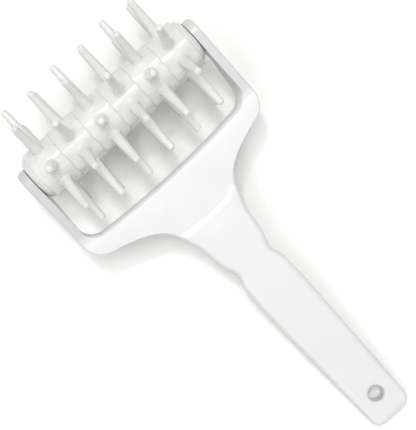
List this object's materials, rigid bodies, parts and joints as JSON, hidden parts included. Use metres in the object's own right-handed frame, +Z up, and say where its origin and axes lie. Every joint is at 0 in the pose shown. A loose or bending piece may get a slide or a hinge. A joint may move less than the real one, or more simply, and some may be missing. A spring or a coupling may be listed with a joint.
{
  "type": "dough docker",
  "caption": "Hand-held dough docker: a free-turning roller with rows of long blunt pins in a forked one-piece handle with a hanging hole.",
  "frame": {"origin": "middle of the bounding box at table height, with the part lying at rest on its pins and on the end of its grip", "axes": "+X along the roller's axle, +Y from the roller towards the end of the grip, +Z up from the table"},
  "size_m": [0.1182, 0.2494, 0.0731],
  "materials": {
    "handle_plastic": "satin white moulding",
    "roller_plastic": "smooth white moulding, slightly translucent",
    "core_plastic": "plain white moulding",
    "rod_steel": "drawn bar"
  },
  "bodies": {
    "frame": {"handle_frame": "handle_plastic", "axle_rod": "rod_steel"},
    "roller": {"core_tube": "core_plastic", "left_collar": "roller_plastic", "right_collar": "roller_plastic", "pin_ring_1": "roller_plastic", "pin_ring_2": "roller_plastic", "pin_ring_3": "roller_plastic", "pin_ring_4": "roller_plastic", "pin_ring_5": "roller_plastic", "pin_ring_6": "roller_plastic"}
  },
  "joints": [
    {"name": "roller_spin", "type": "hinge", "parent": "frame", "child": "roller", "pos_m": [0, -0.08818, 0.03655], "axis": [1, 0, 0], "continuous": true}
  ]
}
